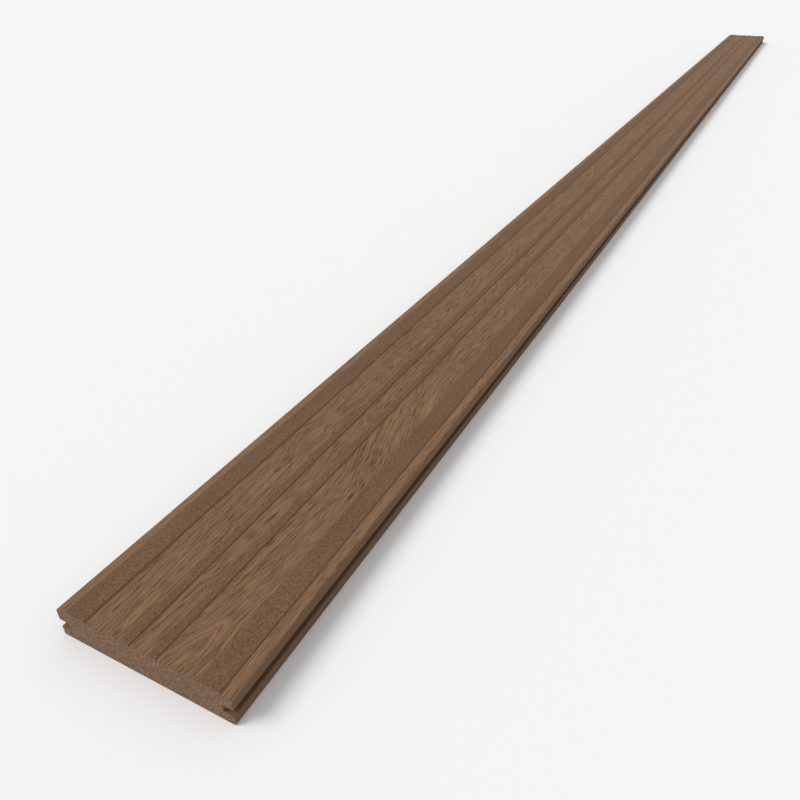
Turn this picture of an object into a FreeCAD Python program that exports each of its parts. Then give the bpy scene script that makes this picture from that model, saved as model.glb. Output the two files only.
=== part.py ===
import FreeCAD, Part
import math
import os

# Decking board: one extruded plank of wood-plastic composite.
# Millimetres. X runs along the board, Y across it and Z up from its underside.
# The origin is the centre of the underside.

# Overall size
board_length = 3600.0
board_width = 140.0
board_thickness = 25.0  # from the underside to the top of the ribs

# Walking face: raised plain ribs, with sunk wood-grain bands between them
rib_height = 0.9
rib_flank_run = 0.8  # how far a rib's sloping side reaches sideways
narrow_rib_width = 5.8  # across the flat top
wide_rib_width = 16.0  # across the flat top
centre_band_width = 14.0  # sunk band between the two narrow ribs
shoulder_width = 7.8  # plain strip between a wide rib and the board's edge
shoulder_fall = 0.4  # how far the shoulder drops on its way to the edge
rib_top_radius = 0.5
rib_foot_radius = 0.4
edge_radius = 1.5

# Long edges: a groove in each takes the tongues of hidden fixing clips
clip_groove_height = 6.0
clip_groove_depth = 8.0
lower_lip_height = 8.0  # from the underside to the groove
groove_mouth_radius = 0.8
groove_root_radius = 1.0
underside_radius = 1.5

# Levels and places that follow from the sizes above
band_level = board_thickness - rib_height
edge_y = board_width / 2
shoulder_y = edge_y - shoulder_width
groove_root_y = edge_y - clip_groove_depth
groove_top = lower_lip_height + clip_groove_height


def rib_corners(inner_foot_y, top_width):
    """Corners of one rib as (y, z, radius), from its inner foot to its outer foot."""
    inner_top_y = inner_foot_y + rib_flank_run
    outer_top_y = inner_top_y + top_width
    return [
        (inner_foot_y, band_level, rib_foot_radius),
        (inner_top_y, board_thickness, rib_top_radius),
        (outer_top_y, board_thickness, rib_top_radius),
        (outer_top_y + rib_flank_run, band_level, rib_foot_radius),
    ]


def edge_corners():
    """Corners of one long edge as (y, z, radius), from the shoulder down to the underside."""
    return [
        (edge_y, band_level - shoulder_fall, edge_radius),
        (edge_y, groove_top, groove_mouth_radius),
        (groove_root_y, groove_top, groove_root_radius),
        (groove_root_y, lower_lip_height, groove_root_radius),
        (edge_y, lower_lip_height, groove_mouth_radius),
        (edge_y, 0.0, underside_radius),
    ]


def section_corners():
    """Corners of the whole section: the right half, then the same half mirrored."""
    wide_rib_foot_y = shoulder_y - wide_rib_width - 2 * rib_flank_run
    right_half = (
        rib_corners(centre_band_width / 2, narrow_rib_width)
        + rib_corners(wide_rib_foot_y, wide_rib_width)
        + edge_corners()
    )
    left_half = [(-y, z, radius) for y, z, radius in reversed(right_half)]
    return right_half + left_half


def rounded_outline(corners, x):
    """Closed wire in the plane at x, with every corner rounded by a tangent arc."""
    points = [FreeCAD.Vector(x, y, z) for y, z, radius in corners]
    arcs = []
    for i, (_, _, radius) in enumerate(corners):
        corner = points[i]
        back = (points[i - 1] - corner).normalize()
        ahead = (points[(i + 1) % len(points)] - corner).normalize()
        half_turn = (math.pi - back.getAngle(ahead)) / 2
        tangent_length = radius * math.tan(half_turn)
        inset = radius / math.cos(half_turn) - radius
        start = corner + back * tangent_length
        middle = corner + (back + ahead).normalize() * inset
        end = corner + ahead * tangent_length
        arcs.append((start, middle, end))
    edges = []
    for i, (start, middle, end) in enumerate(arcs):
        next_start = arcs[(i + 1) % len(arcs)][0]
        edges.append(Part.Arc(start, middle, end).toShape())
        edges.append(Part.LineSegment(end, next_start).toShape())
    return Part.Wire(edges)


def make_decking_board():
    """The plank: its section pushed along the whole length, with both ends sawn square."""
    section = Part.Face(rounded_outline(section_corners(), -board_length / 2))
    return section.extrude(FreeCAD.Vector(board_length, 0, 0))


os.makedirs("parts", exist_ok=True)
make_decking_board().exportStep("parts/decking_board.step")
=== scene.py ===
import math
from typing import NamedTuple

import bmesh
import bpy
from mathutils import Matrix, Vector


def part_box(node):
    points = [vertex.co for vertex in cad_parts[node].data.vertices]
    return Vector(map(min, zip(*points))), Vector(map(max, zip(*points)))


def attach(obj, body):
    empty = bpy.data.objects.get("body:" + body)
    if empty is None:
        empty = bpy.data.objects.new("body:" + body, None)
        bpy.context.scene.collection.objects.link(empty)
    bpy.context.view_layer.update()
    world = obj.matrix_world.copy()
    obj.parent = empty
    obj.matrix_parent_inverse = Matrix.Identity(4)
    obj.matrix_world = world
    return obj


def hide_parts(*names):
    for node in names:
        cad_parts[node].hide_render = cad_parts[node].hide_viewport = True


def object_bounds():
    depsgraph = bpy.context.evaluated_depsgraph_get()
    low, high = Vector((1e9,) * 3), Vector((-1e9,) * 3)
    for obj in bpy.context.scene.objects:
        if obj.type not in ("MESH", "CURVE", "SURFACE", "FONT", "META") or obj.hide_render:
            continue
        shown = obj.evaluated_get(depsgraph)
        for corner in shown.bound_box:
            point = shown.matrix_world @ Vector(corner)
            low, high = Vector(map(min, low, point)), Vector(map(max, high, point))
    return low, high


# The looks of one decking board. Metres, unless a name ends in MM for millimetres.
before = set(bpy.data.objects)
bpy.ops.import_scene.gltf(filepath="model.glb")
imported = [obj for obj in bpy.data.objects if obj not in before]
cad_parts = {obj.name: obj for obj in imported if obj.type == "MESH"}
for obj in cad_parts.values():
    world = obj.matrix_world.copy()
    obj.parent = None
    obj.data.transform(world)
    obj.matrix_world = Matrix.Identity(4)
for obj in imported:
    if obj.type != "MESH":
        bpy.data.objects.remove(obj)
cad_low, cad_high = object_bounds()


class Pattern(NamedTuple):
    """Soft noise with lumps of one size, in millimetres. Each layer of it is a pattern of its own."""

    length: float
    width: float
    layer: float
    detail: float = 0.0  # how many sets of finer lumps are added


METRE_IN_MM = 1000.0
MEAN_NOISE = 0.5  # of a noise node

# Places on the board's section
SHOULDER_WIDTH = 0.0078  # strip between a wide rib and the board's edge
TOP_DEPTH = 0.0035  # the walking face, with its ribs and rounded edges, is this deep
NARROW_RIBS_MM = 10.7  # from the board's middle; they part the three wood-grain bands
HAIR = 1e-5  # points closer than this are the same point
FLAT_ANGLE = math.radians(1)  # faces that meet at less than this are one flat face
SHARP_ANGLE = math.radians(35)  # an edge that turns by more than this is shaded sharp

# The mesh: fine cells in the wood-grain bands, coarse ones elsewhere
COARSE_ROWS = 24  # along the whole length
FINE_PER_COARSE = 38
BAND_CELL_WIDTH = 0.00082
GUARD = 0.0004  # wide flat faces have a column this far inside each edge, so they are shaded flat

# The texture map: the length is cut into strips, which lie side by side on a square
MAP_STRIPS = 3
MAP_PLAIN_SHARE = 0.16  # of a strip's width, for the edges and the underside
MAP_END_SHARE = 0.05  # of the square's height, for the two sawn ends
MAP_MARGIN = 0.01  # of the width of a strip or a sawn end, left free on both of its sides
MAP_END_MARGIN = 0.1  # of a sawn end's height, left free above and below it

# Growth rings, which all the wood grain follows
BAND_STEP_MM = 14.6  # how far apart the bands are in their patterns, so each has rings of its own
FOLD_WIDTH_MM = 24  # from the middle of one set of arches to the next
FOLD_ROUNDING = 0.3  # 0 for arches with pointed tips, 1 for round ones
DRIFT, DRIFT_REACH_MM = Pattern(280, 1, layer=11.3), 50  # of the line that the rings fold about
CLIMB, CLIMB_REACH_MM = Pattern(120, 1, layer=37.1), 38  # of the rings, along the board
FIGURED = Pattern(240, 1, layer=23.7)  # the rings climb only where it is high
FIGURED_FROM, FIGURED_FULL = -0.05, 0.10  # where the climbing starts, and where it is full
RIPPLE, RIPPLE_REACH_MM = Pattern(20, 9, layer=47.9), 1.6  # a slight waver of the rings

# Dashes of the embossed grain: rows of cells along the growth rings, with one dash in each cell
DASH_LENGTH_MM, DASH_WIDTH_MM = 20, 2.2  # of a cell
DASH_ROW_SHIFT = 0.618  # of a cell's length, from each row to the next
DASH_SCATTER = 0.8  # 0 for dashes in the middle of their cells, 1 for anywhere in them
LEAST_TAPER, MORE_TAPER = 1.6, 2.6  # of the longest dash, and what the shortest one has beyond it
DASH_FADE = 0.7  # 0 for dashes with hard edges, 1 for a fade all the way to the middle
FAINTEST_DASH = 0.2  # beside 1 for the strongest one
PATCHES, PATCH_CONTRAST = Pattern(90, 14, layer=53.9), 1.4  # of stronger and weaker dashes
EMBOSS_DEPTH = 0.00022
EMBOSS_FADE = 0.0016  # the embossing runs out over this distance along a band's edges
EMBOSS_HALF_WIDTH, DARK_HALF_WIDTH, LIGHT_HALF_WIDTH = 0.5, 0.22, 0.26  # of a dash, in cells
LIGHT_ALONG_MM, LIGHT_ACROSS_MM = 470, 110  # the light dashes are the pattern this far away

# Tones run from 0, dark, to 1, light. A contrast is how strongly a pattern changes the tone.
MIDDLE_TONE = 0.5
SAND_MM, SAND_DETAIL = 1.0, 1.0  # speckle of the composite
GLOSS = 0.12  # the composite is dull

# Wood grain of the bands and the shoulders
SHORT_LINES, SHORT_CONTRAST = Pattern(8, 0.75, layer=71.3), 0.55
LONG_LINES, LONG_CONTRAST = Pattern(50, 1.1, layer=83.9), 0.73
LINE_CHANGE_MM = 40  # across the board, over which the lines along one ring become others
STREAKS, STREAK_CONTRAST = Pattern(110, 4, layer=61.3, detail=2.0), 0.22
DARK_CONTRAST, LIGHT_CONTRAST, GRAIN_SAND_CONTRAST = 0.48, 0.28, 0.77
GRAIN_GROUND = 0.516  # mean tone between the dashes
GRAIN_ROUGHNESS, GRAIN_BUMP = 0.78, 0.00015

# Plain ribs
FLECKS, FLECK_CONTRAST = Pattern(2.4, 1.9, layer=29.9), 0.6
CLOUDS, CLOUD_CONTRAST = Pattern(55, 9, layer=17.7, detail=1.0), 0.25
RIB_SAND_CONTRAST = 1.25
FLECK_RELIEF = 0.5  # height of flecks, beside 1 for the sand
RIB_ROUGHNESS, RIB_BUMP = 0.80, 0.00006

# Flanks of the ribs, edges and underside, with lines that the extrusion die leaves
DIE_LINE_MM, DIE_LINE_WIDTH_MM, DIE_LINE_DETAIL = 30, 1.1, 2.0
FLANK_CONTRAST, SIDE_CONTRAST, DRAWN_SAND_CONTRAST = 0.4, 0.8, 0.5
DRAWN_SAND_RELIEF = 0.4  # height of the sand, beside 1 for the lines
DRAWN_ROUGHNESS, DRAWN_BUMP = 0.76, 0.00010

# Sawn ends
BLADE_Y_MM, BLADE_Z_MM = 40, 160  # middle of the saw blade
BLADE_ARCS, ARC_CONTRAST = Pattern(2.0, 100, layer=3.1, detail=1.0), 0.4
END_FLECKS, END_FLECK_CONTRAST = Pattern(1.7, 1.2, layer=13.3, detail=4.0), 1.8
END_FLECK_RELIEF = 0.5  # height of flecks, beside 1 for the arcs
END_ROUGHNESS, END_BUMP = 0.82, 0.00018

# Colours of the composite, dark to light, in linear light
GRAIN_TONES = ((0.070, 0.038, 0.020), (0.195, 0.111, 0.060), (0.292, 0.169, 0.092))
RIB_TONES = ((0.070, 0.038, 0.021), (0.155, 0.088, 0.050), (0.250, 0.148, 0.084))
SHOULDER_TONES = ((0.110, 0.060, 0.032), (0.220, 0.125, 0.067), (0.305, 0.177, 0.097))
SIDE_TONES = ((0.105, 0.060, 0.034), (0.160, 0.093, 0.053), (0.205, 0.121, 0.071))
END_TONES = ((0.085, 0.048, 0.028), (0.180, 0.110, 0.066), (0.330, 0.213, 0.135))

# Camera, seen from the middle of the near end of the board
EYE_FROM_END = Vector((-0.17, -0.265, 0.38))
LOOK_YAW, LOOK_PITCH = math.radians(27.6), math.radians(33.0)
LENS_MM = 32.0

# Light
WORLD_STRENGTH = 0.62
KEY_SHARE = 0.40  # of a plain light level on the floor
KEY_YAW, KEY_HEIGHT = math.radians(128), math.radians(48)
KEY_SPREAD = math.radians(28)
FLOOR_SHADE, FLOOR_ROUGHNESS = 0.90, 0.9
FLOOR_SIZE = 120.0
BACKDROP_STRENGTH = FLOOR_SHADE * (WORLD_STRENGTH + KEY_SHARE)  # as bright as the lit floor
WHITE = (1.0, 1.0, 1.0, 1.0)


# Helpers


def add_object(name, data):
    """A new object in the scene."""
    thing = bpy.data.objects.new(name, data)
    bpy.context.scene.collection.objects.link(thing)
    return thing


class Value:
    """A number in a node tree, which may vary over the surface. It is used like a plain number."""

    def __init__(self, nodes, socket):
        self.nodes = nodes
        self.socket = socket

    def __add__(self, other):
        return self.nodes.math("ADD", self, other)

    def __sub__(self, other):
        return self.nodes.math("SUBTRACT", self, other)

    def __rsub__(self, other):
        return self.nodes.math("SUBTRACT", other, self)

    def __mul__(self, other):
        return self.nodes.math("MULTIPLY", self, other)

    def __truediv__(self, other):
        return self.nodes.math("DIVIDE", self, other)


class Nodes:
    """Short calls that add linked nodes to a shader tree or a geometry tree."""

    def __init__(self, tree):
        self.tree = tree
        tree.nodes.clear()

    def add(self, kind, inputs, **settings):
        """A new node, with its inputs linked or set."""
        node = self.tree.nodes.new(kind)
        for name, setting in settings.items():
            setattr(node, name, setting)
        for name, value in inputs.items():
            if isinstance(value, Value):
                value = value.socket
            if isinstance(value, bpy.types.NodeSocket):
                self.tree.links.new(value, node.inputs[name])
            else:
                node.inputs[name].default_value = value
        return node

    def value(self, kind, inputs, **settings):
        """The number that a new node gives."""
        return Value(self, self.add(kind, inputs, **settings).outputs[0])

    def math(self, operation, first, second=0.0):
        """An operation on two numbers, or on the first one alone."""
        return self.value("ShaderNodeMath", {0: first, 1: second}, operation=operation)

    def parts(self, vector):
        """The three numbers in a vector."""
        node = self.add("ShaderNodeSeparateXYZ", {0: vector})
        return [Value(self, socket) for socket in node.outputs]

    def millimetres(self, place):
        """x, y and z of a place that is in metres."""
        return [part * METRE_IN_MM for part in self.parts(place)]

    def step(self, value, low, high):
        """0 below low, 1 above high and a smooth rise between them."""
        return self.value(
            "ShaderNodeMapRange",
            {"Value": value, "From Min": low, "From Max": high},
            interpolation_type="SMOOTHSTEP",
        )

    def noise(self, u, v, w, detail):
        """Soft noise about a mean of 0, with about one lump for each unit of u, v and w."""
        place = self.add("ShaderNodeCombineXYZ", {0: u, 1: v, 2: w}).outputs[0]
        inputs = {"Vector": place, "Scale": 1.0, "Detail": detail}
        return self.value("ShaderNodeTexNoise", inputs) - MEAN_NOISE

    def pattern(self, pattern, along, across, shift=0.0):
        """A pattern at a place in millimetres. Along a shift, it turns into other patterns."""
        u = along / pattern.length
        v = across / pattern.width
        return self.noise(u, v, shift + pattern.layer, pattern.detail)

    def dashes(self, u, v, half_width):
        """Pointed dashes along u, one in each cell of 1 by 1, of many lengths and strengths."""
        place = self.add("ShaderNodeCombineXYZ", {0: u, 1: v}).outputs[0]
        inputs = {"Vector": place, "Scale": 1.0, "Randomness": DASH_SCATTER}
        cell = self.add("ShaderNodeTexVoronoi", inputs, voronoi_dimensions="2D")
        middle_u, middle_v, _ = self.parts(cell.outputs["Position"])
        strength, shortness, _ = self.parts(cell.outputs["Color"])
        along = (u - middle_u) * (shortness * MORE_TAPER + LEAST_TAPER)
        across = self.math("ABSOLUTE", v - middle_v) / half_width
        inside = 1.0 - along * along - across
        return self.step(inside, 0.0, DASH_FADE) * (strength * (1 - FAINTEST_DASH) + FAINTEST_DASH)


# The wood grain


def ripple(nodes, x, y):
    """How far the growth rings waver across the board, in millimetres."""
    return nodes.pattern(RIPPLE, x, y) * RIPPLE_REACH_MM


def straight_rings(nodes, x, y):
    """Growth rings that run along the board, in millimetres."""
    return y + ripple(nodes, x, y)


def growth_rings(nodes, x, y):
    """The growth ring that each point lies on, in millimetres. Each band has rings of its own.

    The rings fold back about a line that drifts along the board. Where they also climb along it,
    they make nested arches.
    """
    past_ribs = nodes.math("SIGN", y - NARROW_RIBS_MM) + nodes.math("SIGN", y + NARROW_RIBS_MM)
    band = past_ribs * (BAND_STEP_MM / 2)
    drift = nodes.pattern(DRIFT, x, band) * DRIFT_REACH_MM
    fold = nodes.math("PINGPONG", y + drift, FOLD_WIDTH_MM)
    rounded = nodes.step(fold, 0.0, FOLD_WIDTH_MM) * FOLD_WIDTH_MM
    figured = nodes.step(nodes.pattern(FIGURED, x, band), FIGURED_FROM, FIGURED_FULL)
    climb = nodes.pattern(CLIMB, x, band) * figured * CLIMB_REACH_MM
    return fold * (1 - FOLD_ROUNDING) + rounded * FOLD_ROUNDING + climb + ripple(nodes, x, y)


def grain_dashes(nodes, x, ring, half_width):
    """The dashes of the embossed grain, which follow the growth rings, stronger in some patches."""
    row = ring / DASH_WIDTH_MM
    strength = nodes.pattern(PATCHES, x, ring) * PATCH_CONTRAST + 1.0
    return nodes.dashes(x / DASH_LENGTH_MM + row * DASH_ROW_SHIFT, row, half_width) * strength


# The board's mesh


def pairs_around(loop):
    """Each member of a closed loop with the one after it."""
    return zip(loop, loop[1:] + loop[:1])


def section_outline(node):
    """The board's section as (y, z) points in order, read from its low end."""
    shell = bmesh.new()
    shell.from_mesh(node.data)
    bmesh.ops.remove_doubles(shell, verts=shell.verts, dist=HAIR)
    bmesh.ops.dissolve_limit(shell, angle_limit=FLAT_ANGLE, verts=shell.verts, edges=shell.edges)
    end = min(shell.faces, key=lambda face: face.calc_center_median().x)
    outline = [(corner.co.y, corner.co.z) for corner in end.verts]
    shell.free()
    return outline


def region_of(start, end):
    """Which finish a straight piece of the section has."""
    middle_y = abs(start[0] + end[0]) / 2
    middle_z = (start[1] + end[1]) / 2
    level = abs(end[1] - start[1]) < HAIR
    if middle_z < cad_high.z - TOP_DEPTH:
        return "side"
    if middle_y > cad_high.y - SHOULDER_WIDTH:
        return "shoulder"
    if not level:
        return "flank"
    return "rib" if middle_z > cad_high.z - HAIR else "band"


class Column:
    """One line of points along the board, and the finish of the strip from it to the next column."""

    def __init__(self, y, z, region, fine, emboss_share=0.0):
        self.y = y
        self.z = z
        self.region = region
        self.fine = fine
        self.emboss_share = emboss_share
        self.points = range(0)  # their numbers in the mesh, once place_points has made them

    def stretch(self, row):
        """The points from one coarse row to the next."""
        if self.fine:
            return self.points[row * FINE_PER_COARSE : (row + 1) * FINE_PER_COARSE + 1]
        return self.points[row : row + 2]


def inner_places(width, region):
    """Where the columns inside a straight piece of the section lie, in metres from its start."""
    if region == "band":
        cells = round(width / BAND_CELL_WIDTH)
        return [width * cell / cells for cell in range(1, cells)]
    if width > 3 * GUARD:
        return [GUARD, width - GUARD]
    return []


def section_columns(outline):
    """The columns in order round the section."""
    columns = []
    before = region_of(outline[-1], outline[0])
    for start, end in pairs_around(outline):
        region = region_of(start, end)
        in_band = region == "band"
        columns.append(Column(*start, region, fine=in_band or before == "band"))
        width = math.dist(start, end)
        for place in inner_places(width, region):
            y = start[0] + (end[0] - start[0]) * place / width
            z = start[1] + (end[1] - start[1]) * place / width
            to_edge = min(place, width - place)
            emboss_share = min(1.0, to_edge / EMBOSS_FADE) if in_band else 0.0
            columns.append(Column(y, z, region, in_band, emboss_share))
        before = region
    return columns


def place_points(columns, low_x, high_x):
    """The mesh's points, column by column, and each one's share of the embossing."""
    points = []
    emboss_shares = []
    for column in columns:
        rows = COARSE_ROWS * FINE_PER_COARSE if column.fine else COARSE_ROWS
        column.points = range(len(points), len(points) + rows + 1)
        for row in range(rows + 1):
            points.append((low_x + (high_x - low_x) * row / rows, column.y, column.z))
            emboss_shares.append(column.emboss_share)
    return points, emboss_shares


class Face(NamedTuple):
    """One face of the mesh."""

    corners: tuple  # numbers of the mesh's points
    region: str
    map_places: list  # where each corner lies in the texture map


def strip_corners(column, after, row):
    """Corners of the faces between two columns, in one coarse row: many in a band, else one face."""
    near = column.stretch(row)
    far = after.stretch(row)
    if column.region == "band":
        return list(zip(near, near[1:], far[1:], far))
    return [(*near, *reversed(far))]


def places_around(columns):
    """How far across a strip of the texture map each column lies, and where the last face ends."""
    widths = [math.dist((a.y, a.z), (b.y, b.z)) for a, b in pairs_around(columns)]
    plain = sum(width for column, width in zip(columns, widths) if column.region == "side")
    walked = sum(widths) - plain
    places = [0.0]
    for column, width in zip(columns, widths):
        if column.region == "side":
            share = MAP_PLAIN_SHARE * width / plain
        else:
            share = (1 - MAP_PLAIN_SHARE) * width / walked
        places.append(places[-1] + share)
    return places


def inset(share, margin):
    """A share of a stretch from 0 to 1, moved in so that a margin stays free at both ends."""
    return margin + (1 - 2 * margin) * share


def strip_place(x_share, around, strip):
    """Where a point of the long faces lies in the texture map."""
    v = (strip + inset(around, MAP_MARGIN)) * (1 - MAP_END_SHARE) / MAP_STRIPS
    return x_share * MAP_STRIPS - strip, v


def end_place(y_share, z_share, end):
    """Where a point of a sawn end lies in the texture map."""
    v = 1 - MAP_END_SHARE * (1 - inset(z_share, MAP_END_MARGIN))
    return (end + inset(y_share, MAP_MARGIN)) / 2, v


def long_faces(columns, points, low, size):
    """The faces along the board: the walking face, the edges and the underside."""
    around = places_around(columns)
    faces = []
    for i, (column, after) in enumerate(pairs_around(columns)):
        for row in range(COARSE_ROWS):
            strip = row * MAP_STRIPS // COARSE_ROWS
            for corners in strip_corners(column, after, row):
                map_places = []
                for corner in corners:
                    x_share = (points[corner][0] - low.x) / size.x
                    place = around[i] if corner in column.points else around[i + 1]
                    map_places.append(strip_place(x_share, place, strip))
                faces.append(Face(corners, column.region, map_places))
    return faces


def end_faces(columns, low, size):
    """The two sawn ends."""
    shares = [((column.y - low.y) / size.y, (column.z - low.z) / size.z) for column in columns]
    faces = []
    for end, row in enumerate((0, -1)):
        corners = tuple(column.points[row] for column in columns)
        faces.append(Face(corners, "end", [end_place(*share, end) for share in shares]))
    return faces


def turn_outwards(mesh):
    """Turns the faces of a closed mesh to look outwards."""
    shell = bmesh.new()
    shell.from_mesh(mesh)
    bmesh.ops.recalc_face_normals(shell, faces=shell.faces)
    shell.to_mesh(mesh)
    shell.free()


def build_board(node, materials):
    """A closed mesh of the board, with fine cells in its wood-grain bands and a texture map."""
    low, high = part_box(node.name)
    size = high - low
    columns = section_columns(section_outline(node))
    points, emboss_shares = place_points(columns, low.x, high.x)
    faces = long_faces(columns, points, low, size) + end_faces(columns, low, size)
    mesh = bpy.data.meshes.new("grained_board")
    mesh.from_pydata(points, [], [face.corners for face in faces])
    for material in materials.values():
        mesh.materials.append(material)
    regions = list(materials)
    mesh.polygons.foreach_set("material_index", [regions.index(face.region) for face in faces])
    mesh.attributes.new("emboss_share", "FLOAT", "POINT").data.foreach_set("value", emboss_shares)
    map_shares = [share for face in faces for place in face.map_places for share in place]
    mesh.uv_layers.new(name="OFBake").data.foreach_set("uv", map_shares)
    turn_outwards(mesh)
    mesh.shade_smooth()
    mesh.set_sharp_from_angle(angle=SHARP_ANGLE)
    return add_object("grained_board", mesh)


def emboss(board):
    """Presses the wood grain into the bands, with the same pattern that colours them."""
    tree = bpy.data.node_groups.new("embossing", "GeometryNodeTree")
    for way in ("INPUT", "OUTPUT"):
        tree.interface.new_socket("Geometry", in_out=way, socket_type="NodeSocketGeometry")
    nodes = Nodes(tree)
    place = nodes.add("GeometryNodeInputPosition", {}).outputs[0]
    x, y, _ = nodes.millimetres(place)
    dashes = grain_dashes(nodes, x, growth_rings(nodes, x, y), EMBOSS_HALF_WIDTH)
    share = nodes.value("GeometryNodeInputNamedAttribute", {"Name": "emboss_share"}, data_type="FLOAT")
    offset = nodes.add("ShaderNodeCombineXYZ", {2: dashes * share * -EMBOSS_DEPTH})
    source = nodes.add("NodeGroupInput", {})
    moved = nodes.add(
        "GeometryNodeSetPosition",
        {"Geometry": source.outputs[0], "Offset": offset.outputs[0]},
    )
    nodes.add("NodeGroupOutput", {0: moved.outputs[0]})
    modifier = board.modifiers.new("embossing", "NODES")
    modifier.node_group = tree
    pressed = board.evaluated_get(bpy.context.evaluated_depsgraph_get())
    mesh = bpy.data.meshes.new_from_object(pressed)
    board.modifiers.clear()
    board.data = mesh


# Materials


def new_material(name):
    """A material with an empty node tree, and x, y and z of its surface in millimetres."""
    material = bpy.data.materials.new(name)
    material.use_nodes = True
    nodes = Nodes(material.node_tree)
    place = nodes.add("ShaderNodeTexCoord", {}).outputs["Object"]
    return material, nodes, nodes.millimetres(place)


def finish_material(nodes, tones, tone, roughness, height, depth):
    """Colours the surface by its tone, and gives it a bump of height times depth, in metres."""
    ramp = nodes.add("ShaderNodeValToRGB", {0: tone})
    stops = ramp.color_ramp.elements
    stops.new(MIDDLE_TONE)
    for i, (stop, colour) in enumerate(zip(stops, tones)):
        stop.position = i / (len(tones) - 1)
        stop.color = (*colour, 1.0)
    bump = nodes.add("ShaderNodeBump", {"Height": height, "Distance": depth})
    shader = nodes.add(
        "ShaderNodeBsdfPrincipled",
        {
            "Base Color": ramp.outputs[0],
            "Roughness": roughness,
            "Specular IOR Level": GLOSS,
            "Normal": bump.outputs[0],
        },
    )
    nodes.add("ShaderNodeOutputMaterial", {0: shader.outputs[0]})


def composite_sand(nodes, x, y, z):
    """The fine sandy speckle of the composite."""
    return nodes.noise(x / SAND_MM, y / SAND_MM, z / SAND_MM, SAND_DETAIL)


def grained_material(name, tones, rings):
    """Embossed wood grain: dark and light dashes, fine lines and slow streaks along the rings."""
    material, nodes, (x, y, z) = new_material(name)
    ring = rings(nodes, x, y)
    dark = grain_dashes(nodes, x, ring, DARK_HALF_WIDTH)
    light = grain_dashes(nodes, x + LIGHT_ALONG_MM, ring + LIGHT_ACROSS_MM, LIGHT_HALF_WIDTH)
    change = y / LINE_CHANGE_MM
    short = nodes.pattern(SHORT_LINES, x, ring, change)
    long = nodes.pattern(LONG_LINES, x, ring, change)
    sand = composite_sand(nodes, x, y, z)
    lines = short * SHORT_CONTRAST + long * LONG_CONTRAST + sand * GRAIN_SAND_CONTRAST
    streaks = nodes.pattern(STREAKS, x, ring)
    dashes = light * LIGHT_CONTRAST - dark * DARK_CONTRAST
    tone = dashes + lines + streaks * STREAK_CONTRAST + GRAIN_GROUND
    finish_material(nodes, tones, tone, GRAIN_ROUGHNESS, lines - dark, GRAIN_BUMP)
    return material


def speckled_material(name, tones):
    """Plain brushed composite with a sandy speckle of two sizes and slow cloudy patches."""
    material, nodes, (x, y, z) = new_material(name)
    sand = composite_sand(nodes, x, y, z)
    flecks = nodes.pattern(FLECKS, x, y)
    clouds = nodes.pattern(CLOUDS, x, y)
    speckle = sand * RIB_SAND_CONTRAST + flecks * FLECK_CONTRAST
    tone = speckle + clouds * CLOUD_CONTRAST + MIDDLE_TONE
    finish_material(nodes, tones, tone, RIB_ROUGHNESS, sand + flecks * FLECK_RELIEF, RIB_BUMP)
    return material


def drawn_material(name, tones, contrast):
    """Smooth composite with the faint lengthwise lines that the extrusion die leaves."""
    material, nodes, (x, y, z) = new_material(name)
    across_y = y / DIE_LINE_WIDTH_MM
    across_z = z / DIE_LINE_WIDTH_MM
    lines = nodes.noise(x / DIE_LINE_MM, across_y, across_z, DIE_LINE_DETAIL)
    sand = composite_sand(nodes, x, y, z)
    tone = lines * contrast + sand * DRAWN_SAND_CONTRAST + MIDDLE_TONE
    finish_material(nodes, tones, tone, DRAWN_ROUGHNESS, lines + sand * DRAWN_SAND_RELIEF, DRAWN_BUMP)
    return material


def sawn_material(name, tones):
    """Saw-cut ends: the composite's flecks of wood and shallow arcs from the blade."""
    material, nodes, (x, y, z) = new_material(name)
    blade_y = y - BLADE_Y_MM
    blade_z = z - BLADE_Z_MM
    reach = nodes.math("SQRT", blade_y * blade_y + blade_z * blade_z)
    arcs = nodes.pattern(BLADE_ARCS, reach, x)
    flecks = nodes.pattern(END_FLECKS, y, z)
    tone = flecks * END_FLECK_CONTRAST + arcs * ARC_CONTRAST + MIDDLE_TONE
    finish_material(nodes, tones, tone, END_ROUGHNESS, arcs + flecks * END_FLECK_RELIEF, END_BUMP)
    return material


# Stage


def add_floor():
    """A wide pale floor under the board."""
    half = FLOOR_SIZE / 2
    corners = [(-half, -half, 0), (half, -half, 0), (half, half, 0), (-half, half, 0)]
    mesh = bpy.data.meshes.new("floor")
    mesh.from_pydata(corners, [], [(0, 1, 2, 3)])
    material = bpy.data.materials.new("pale_floor")
    material.use_nodes = True
    shader = material.node_tree.nodes["Principled BSDF"]
    shader.inputs["Base Color"].default_value = (FLOOR_SHADE, FLOOR_SHADE, FLOOR_SHADE, 1.0)
    shader.inputs["Roughness"].default_value = FLOOR_ROUGHNESS
    shader.inputs["Specular IOR Level"].default_value = 0.0
    mesh.materials.append(material)
    floor = add_object("floor", mesh)
    floor.location.z = cad_low.z


def direction(yaw, height):
    """The direction at an angle yaw from x towards y, and an angle height above the level."""
    level = math.cos(height)
    return Vector((math.cos(yaw) * level, math.sin(yaw) * level, math.sin(height)))


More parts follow.
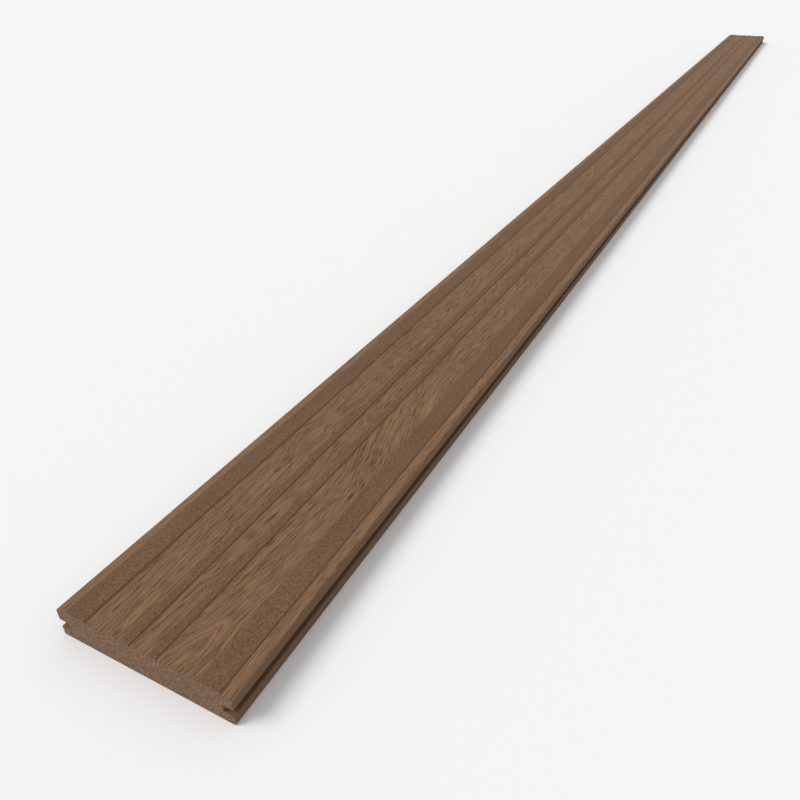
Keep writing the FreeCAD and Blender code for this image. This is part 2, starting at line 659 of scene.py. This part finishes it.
def turn(thing, axis, towards):
    """Turns an object so that its own axis points in a direction."""
    thing.rotation_mode = "QUATERNION"
    thing.rotation_quaternion = towards.to_track_quat(axis, "Y")


def add_world():
    """Soft light from all around. The backdrop that is seen is as bright as the lit floor."""
    world = bpy.data.worlds.new("soft_world")
    world.use_nodes = True
    nodes = Nodes(world.node_tree)
    path = nodes.add("ShaderNodeLightPath", {}).outputs
    seen = nodes.math("MAXIMUM", path["Is Camera Ray"], path["Is Glossy Ray"])
    seen = nodes.math("MAXIMUM", seen, path["Is Transmission Ray"])
    strength = seen * (BACKDROP_STRENGTH - WORLD_STRENGTH) + WORLD_STRENGTH
    background = nodes.add("ShaderNodeBackground", {"Color": WHITE, "Strength": strength})
    nodes.add("ShaderNodeOutputWorld", {0: background.outputs[0]})
    bpy.context.scene.world = world


def add_key():
    """A broad lamp, high on the camera's left, for a soft shadow."""
    lamp = bpy.data.lights.new("key", "SUN")
    lamp.energy = KEY_SHARE * math.pi / math.sin(KEY_HEIGHT)  # pi is the plain level, square on
    lamp.angle = KEY_SPREAD
    turn(add_object("key", lamp), "Z", direction(KEY_YAW, KEY_HEIGHT))


def add_camera():
    """The camera, which looks down along the board from its near end."""
    lens = bpy.data.cameras.new("camera")
    lens.lens = LENS_MM
    camera = add_object("camera", lens)
    near_end = Vector((cad_low.x, (cad_low.y + cad_high.y) / 2, cad_low.z))
    camera.location = near_end + EYE_FROM_END
    turn(camera, "-Z", direction(LOOK_YAW, -LOOK_PITCH))
    bpy.context.scene.camera = camera


materials = {
    "band": grained_material("grain_band", GRAIN_TONES, growth_rings),
    "rib": speckled_material("plain_rib", RIB_TONES),
    "flank": drawn_material("flank", RIB_TONES, FLANK_CONTRAST),
    "shoulder": grained_material("shoulder", SHOULDER_TONES, straight_rings),
    "side": drawn_material("side", SIDE_TONES, SIDE_CONTRAST),
    "end": sawn_material("sawn_end", END_TONES),
}
board = build_board(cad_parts["decking_board"], materials)
emboss(board)
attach(board, "root")
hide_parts("decking_board")

add_floor()
add_world()
add_key()
add_camera()
bpy.context.scene.view_settings.view_transform = "Standard"
